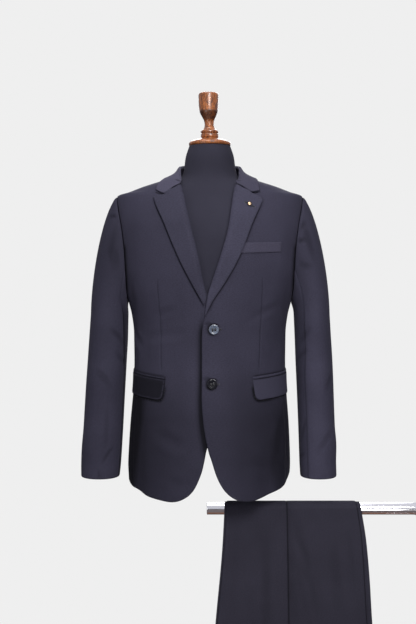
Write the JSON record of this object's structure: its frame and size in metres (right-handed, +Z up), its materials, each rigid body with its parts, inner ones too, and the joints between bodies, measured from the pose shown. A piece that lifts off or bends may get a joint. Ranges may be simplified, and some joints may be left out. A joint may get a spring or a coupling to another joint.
{
  "type": "two-piece suit with notch-lapel jacket and trousers on a dress form with rail",
  "caption": "Single-breasted notch-lapel suit jacket worn by a limbless dress form, with its folded trousers hung over a rail on one plinth.",
  "frame": {"origin": "on the plinth's underside, straight below the dress form's neck", "axes": "+Z up, +X to the right of someone facing the suit, -Y towards that viewer"},
  "size_m": [0.868, 0.39, 1.652],
  "materials": {
    "suit_wool": "matt worsted wool, charcoal navy",
    "trouser_wool": "matt worsted wool, charcoal navy",
    "form_jersey": "plain stretched jersey",
    "horn": "polished dark resin",
    "stud_brass": "polished",
    "turned_wood": "satin varnish",
    "rail_metal": "polished"
  },
  "bodies": {
    "root": {"back_left": "suit_wool", "back_right": "suit_wool", "belt_loop_1": "trouser_wool", "belt_loop_2": "trouser_wool", "breast_welt": "suit_wool", "button_lower": "horn", "button_upper": "horn", "collar": "suit_wool", "cuff_button_left_1": "horn", "cuff_button_left_2": "horn", "cuff_button_left_3": "horn", "cuff_button_left_4": "horn", "cuff_button_right_1": "horn", "cuff_button_right_2": "horn", "cuff_button_right_3": "horn", "cuff_button_right_4": "horn", "form_post": "rail_metal", "form_torso": "form_jersey", "front_left": "suit_wool", "front_right": "suit_wool", "lapel_left": "suit_wool", "lapel_right": "suit_wool", "lapel_stud": "stud_brass", "neck_finial": "turned_wood", "plinth": "turned_wood", "pocket_flap_left": "suit_wool", "pocket_flap_right": "suit_wool", "pocket_jet_left": "suit_wool", "pocket_jet_right": "suit_wool", "post_flange": "rail_metal", "rail": "rail_metal", "rail_flange": "rail_metal", "side_body_left": "suit_wool", "side_body_right": "suit_wool", "trouser_back_panel": "trouser_wool", "trouser_front_panel": "trouser_wool", "trouser_inner_layers": "trouser_wool", "under_sleeve_left": "suit_wool", "under_sleeve_right": "suit_wool", "upper_sleeve_left": "suit_wool", "upper_sleeve_right": "suit_wool", "waistband": "trouser_wool"}
  },
  "joints": []
}
